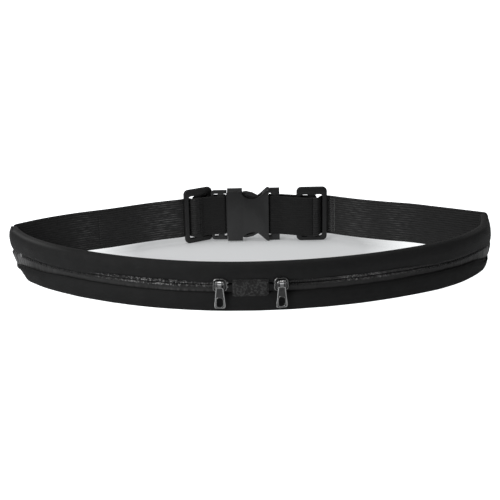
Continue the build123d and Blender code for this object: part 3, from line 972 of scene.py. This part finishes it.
def binding(side, name):
    """Strip folded over the end: in front beside the upper panel, behind over the full height."""
    end = face_length(side)
    rings, heights = [], spaced(20.4, 41.9, 0.8)
    for z in heights:
        reach = 1.5 + 6.0 * float(smooth(z, 20, 24))
        tuck = 0.6 * bell(z, 20.4, 0.8) + 0.6 * bell(z, 41.9, 0.8)
        swell = -1.35 * math.sin(math.pi * min(1, max(0, (z - 22) / 18))) - 0.55
        line = rounded([(end - reach, swell + 0.15), (end - reach / 2, swell), (end + 0.5, swell + 0.2),
                        (end + 0.7, 1.4)], (4, 0.9), turn=12, longest=0.5)
        outline = band(evenly(line, 14), 0.6)
        rings.append([on_face(side * length, depth * (1 - tuck) + tuck, z) for length, depth in outline])
    parts = [loft(rings, list(heights), measure(outline, closed=True))]
    line = rounded([(end + 0.7, 4.2), (end + 0.6, 6.2), (end - 8, 6.0)], (0.9,), turn=12)
    outline = band(evenly(line, 16), 0.6)
    heights = spaced(1.0, 40.8, 1.0)
    rings = [[on_face(side * length, depth + 0.2 * ripple(z, length, scale=8), z)
              for length, depth in outline] for z in heights]
    parts.append(loft(rings, list(heights), measure(outline, closed=True)))
    # the left binding takes the lighter cloth as painted light; the right one takes the panel cloth
    obj = make(name + "_binding", parts, [lit_end_cloth if side < 0 else panel_cloth])
    finish_piece(obj, "belt", [name + "_end_binding"])


binding(-1, "left")
binding(1, "right")

# ---- webbing ----

pass_offset = glide_size[2] / 2 + web_gap + web_thick / 2
outer_offset = pass_offset + web_thick + web_gap


def glide_point(glide, side, along, inwards):
    """Plan point beside a tri-glide: along is away from the buckle, inwards is to the body."""
    x, y, turn = glide
    angle = math.radians(turn)
    return (x + side * (along * math.cos(angle) - inwards * math.sin(angle)),
            y - along * math.sin(angle) - inwards * math.cos(angle))


def web_outline():
    """Half-thickness and height round the webbing, with a rib every 2.24 mm on both faces."""
    ribs = 17
    pitch = web_width / ribs
    each = 7
    z = np.linspace(-web_width / 2, web_width / 2, ribs * each + 1)
    share = np.abs(np.sin(np.pi * (z + web_width / 2) / pitch)) ** 0.7
    edge = np.minimum(1, (web_width / 2 - np.abs(z)) / 0.8) ** 0.5
    half = (web_thick / 2 - 0.22 + 0.22 * share) * np.maximum(edge, 0.35)
    front = np.stack([half, z], axis=1)
    back = np.stack([-half, z], axis=1)[::-1]
    return np.vstack([front, back])


def ribbon(path, middle, shine, start=0.0):
    """Webbing along a plan path; middle(x) is the height of its centre line."""
    outline = web_outline()
    across = normals(path)
    run = measure(path) + start
    rings, values = [], []
    for (x, y), (nx, ny), s in zip(path, across, run):
        z0 = middle(x)
        sway = 0.25 * ripple(s, scale=30, seed=8.0)
        shifts = [o + sway * (z / (web_width / 2)) ** 2 for o, z in outline]
        rings.append([(x + nx * o, y + ny * o, z0 + z) for o, (_, z) in zip(shifts, outline)])
        values.append([shine(x)] * len(outline))
    around = measure(outline, closed=True)
    return loft(rings, list(run), around, shine=values)


def left_middle(x):
    """Height of the left webbing's centre line."""
    return float(np.interp(x, [-215, -130, -62, -40, -20], [24.3, 24.4, 25.2, 26.0, 26.5]))


def right_middle(x):
    """Height of the right webbing's centre line."""
    return float(np.interp(x, [20, 45, 75, 130, 215], [25.8, 24.8, 24.4, 24.5, 24.6]))


def strap_start(side):
    """The webbing's path inside the end of the pouch, and the corner where it turns out."""
    end = face_length(side)
    inside = []
    for length in np.arange(end - 15, end + 0.01, 1.0):
        x, y, h = face_at(side * length)
        inside.append((x - web_depth * math.sin(h), y + web_depth * math.cos(h)))
    leave, h = inside[-1], face_at(side * end)[2]
    corner = (leave[0] + side * 5 * math.cos(h), leave[1] + 5 * math.sin(abs(h)))
    return inside, corner


left_bends = [(-190, 32.0), (-160, 47.0), (-128, 58.0), (-93, 72.5)]
right_bends = [(190, 36.0), (150, 56.0), (131, 61.5), (100, 73.5)]


def strap_path(side, glide, bends, buckle_turn):
    """Plan path of one strap: pouch, tri-glide, buckle and back to the tri-glide's middle bar."""
    inside, corner = strap_start(side)
    threading = [(16.5, -pass_offset, 3.0), (9.2, -pass_offset, 2.0),
                 (5.5, outer_offset, 2.0), (-3.6, outer_offset, 3.0)]
    sewn_end = [(4.05, -pass_offset, 1.1), (4.05, pass_offset, 1.1)]
    route = [(*corner, 5.0)] + [(x, y, 400.0) for x, y in bends]
    route += [(*glide_point(glide, side, a, n), r) for a, n, r in threading]
    route += buckle_turn
    route += [(*glide_point(glide, side, a, n), r) for a, n, r in sewn_end]
    last = glide_point(glide, side, -1.8, pass_offset)
    points = [inside[-1]] + [(x, y) for x, y, _ in route] + [last]
    line = rounded(points, [r for _, _, r in route], turn=9, longest=1.6)
    return np.vstack([np.array(inside[:-1]), line])


plug_bar = 2.2 + web_gap + web_thick / 2
socket_bar = 2.5 + web_gap + web_thick / 2
left_turn = [(-36.8, buckle_y - plug_bar, 6.0), (-22.35, buckle_y - plug_bar, 1.4),
             (-22.35, buckle_y + plug_bar, 1.4), (-33.2, buckle_y + plug_bar, 3.0),
             (*glide_point(left_glide, -1, -16.0, -pass_offset - 0.7), 3.0)]
right_turn = [(44.4, buckle_y - socket_bar - 2.9, 20.0), (31.4, buckle_y - socket_bar, 20.0),
              (19.15, buckle_y - socket_bar, 1.6), (19.15, buckle_y + socket_bar, 1.6),
              (31.4, buckle_y + socket_bar, 10.0)]


def split_at(path, point):
    """Index of the first place on the path that is nearest to a point."""
    return int(np.argmin(np.linalg.norm(path - np.array(point), axis=1)))


def left_shine(x):
    """Painted highlight patches on the left webbing, by x."""
    return float(1.0 * bell(x, -81, 15) + 0.6 * bell(x, -151, 10))


def right_shine(x):
    """Painted highlight patches on the right webbing, by x, one on the sewn tack."""
    return float(0.55 * bell(x, 102, 13) + 0.55 * bell(x, 139, 13) + 0.3 * bell(x, 78.5, 3.5))


path = strap_path(1, right_glide, right_bends, right_turn)
over = split_at(path[:len(path) * 2 // 3], glide_point(right_glide, 1, 0.5, outer_offset))
run = measure(path)
tack = []
for i, x in enumerate(np.arange(*tack_run)):
    k = int(np.argmin(np.abs(path[:over, 0] - x)))
    px, py = path[k]
    nx, ny = normals(path)[k]
    face = -1 if ny > 0 else 1
    for z in np.arange(-16.0 + 0.6 * (i % 2), 16.0, 2.2):
        foot = (px + nx * face * 0.95, py + ny * face * 0.95, right_middle(px) + z)
        tack.append(stitch(foot, (foot[0], foot[1], foot[2] + 1.7), 0.34, 1))
right_main = make("right_webbing", [ribbon(path[:over + 1], right_middle, right_shine)] + tack,
                  [webbing, light_thread])
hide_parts("right_strap")
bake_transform(right_main)
right_loop = make("right_webbing_loop",
                  [ribbon(path[over:], right_middle, right_shine, start=run[over])], [shaded_webbing])
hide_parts("right_strap")
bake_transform(right_loop)

path = strap_path(-1, left_glide, left_bends, left_turn)
run = measure(path)
over = split_at(path[:len(path) * 2 // 3], glide_point(left_glide, -1, 0.5, outer_offset))
reach = split_at(path[:over], (-140, 53.7))
pocket = split_at(path[:over], glide_point(left_glide, -1, 15.5, -pass_offset))
far = make("left_webbing_far", [ribbon(path[:reach + 1], left_middle, left_shine)], [webbing])
near = make("left_webbing_near",
            [ribbon(path[reach:pocket + 1], left_middle, left_shine, start=run[reach])], [webbing])
turned = make("left_webbing_turn",
              [ribbon(path[pocket:over + 1], left_middle, left_shine, start=run[pocket])], [webbing])
loop = make("left_webbing_loop",
            [ribbon(path[over:], left_middle, left_shine, start=run[over])], [shaded_webbing])
for piece in (far, near, turned, loop):
    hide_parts("left_strap")
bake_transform(far)
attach(near, "plug")
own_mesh(near)
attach(turned, "left_triglide")
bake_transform(loop)

# ---- floor, light and camera ----

floor_mesh = bpy.data.meshes.new("floor")
floor_mesh.from_pydata([(-3, -3, 0), (3, -3, 0), (3, 3, 0), (-3, 3, 0)], [], [(0, 1, 2, 3)])
floor = bpy.data.objects.new("floor", floor_mesh)
bpy.context.scene.collection.objects.link(floor)
paper = Shader("pale_floor")
# painted shade: the camera sees the floor glow white outside an oval round the belt, and only faintly
# inside it
fx, fy, _ = paper.split(paper.object)
wide = paper.math("DIVIDE", fx, 0.17)
deep = paper.math("DIVIDE", paper.math("SUBTRACT", fy, 0.06), 0.1)
oval = paper.math("ADD", paper.math("MULTIPLY", wide, wide), paper.math("MULTIPLY", deep, deep))
seen = paper.tree.nodes.new("ShaderNodeLightPath").outputs["Is Camera Ray"]
glow = paper.span(oval, 0.4, 1.15, 0.1, 1.15)
paper.set(Base_Color=(0.9, 0.91, 0.92, 1), Roughness=0.22, Specular_IOR_Level=0.5)
paper.set(Emission_Color=(0.97, 0.99, 1, 1))
paper.set(Emission_Strength=paper.math("MULTIPLY_ADD", seen, glow, 0.1))
floor_mesh.materials.append(paper.material)

world = bpy.data.worlds.new("world")
bpy.context.scene.world = world
world.use_nodes = True
tree = world.node_tree
background = tree.nodes["Background"]
background.inputs[0].default_value = (1, 1, 1, 1)
background.inputs[1].default_value = 0.09
bright = tree.nodes.new("ShaderNodeBackground")
bright.inputs[0].default_value = (1, 1, 1, 1)
bright.inputs[1].default_value = 1.1
rays = tree.nodes.new("ShaderNodeLightPath")
choose = tree.nodes.new("ShaderNodeMixShader")
tree.links.new(rays.outputs["Is Camera Ray"], choose.inputs[0])
tree.links.new(background.outputs[0], choose.inputs[1])
tree.links.new(bright.outputs[0], choose.inputs[2])
tree.links.new(choose.outputs[0], tree.nodes["World Output"].inputs["Surface"])


def soft_light(name, place, target, size, power):
    """A rectangular area light."""
    data = bpy.data.lights.new(name, "AREA")
    data.shape = "RECTANGLE"
    data.size, data.size_y = size
    data.energy = power
    light = bpy.data.objects.new(name, data)
    bpy.context.scene.collection.objects.link(light)
    light.location = place
    light.rotation_mode = "QUATERNION"
    light.rotation_quaternion = (Vector(target) - Vector(place)).to_track_quat("-Z", "Y")


soft_light("overhead", (-0.1, 0.1, 1.1), (0, 0, 0), (1.0, 0.6), 4.6)
soft_light("left_key", (-0.9, -0.75, 0.55), (-0.05, 0, 0.02), (0.5, 0.6), 6.5)
soft_light("right_fill", (1.0, -0.6, 0.4), (0.1, 0, 0.02), (0.4, 0.5), 0.6)

cam_data = bpy.data.cameras.new("camera")
cam = bpy.data.objects.new("camera", cam_data)
bpy.context.scene.collection.objects.link(cam)
distance = 0.95
elevation = math.radians(20)
aim = Vector((0, -0.011, 0.025))
roll = math.radians(1.1)
cam.location = aim + distance * Vector((0, -math.cos(elevation), math.sin(elevation)))
look = (aim - cam.location).to_track_quat("-Z", "Y")
cam.rotation_mode = "QUATERNION"
cam.rotation_quaternion = look @ Quaternion((0, 0, 1), -roll)
cam_data.lens = 78.4
bpy.context.scene.camera = cam
bpy.context.scene.view_settings.view_transform = "Standard"
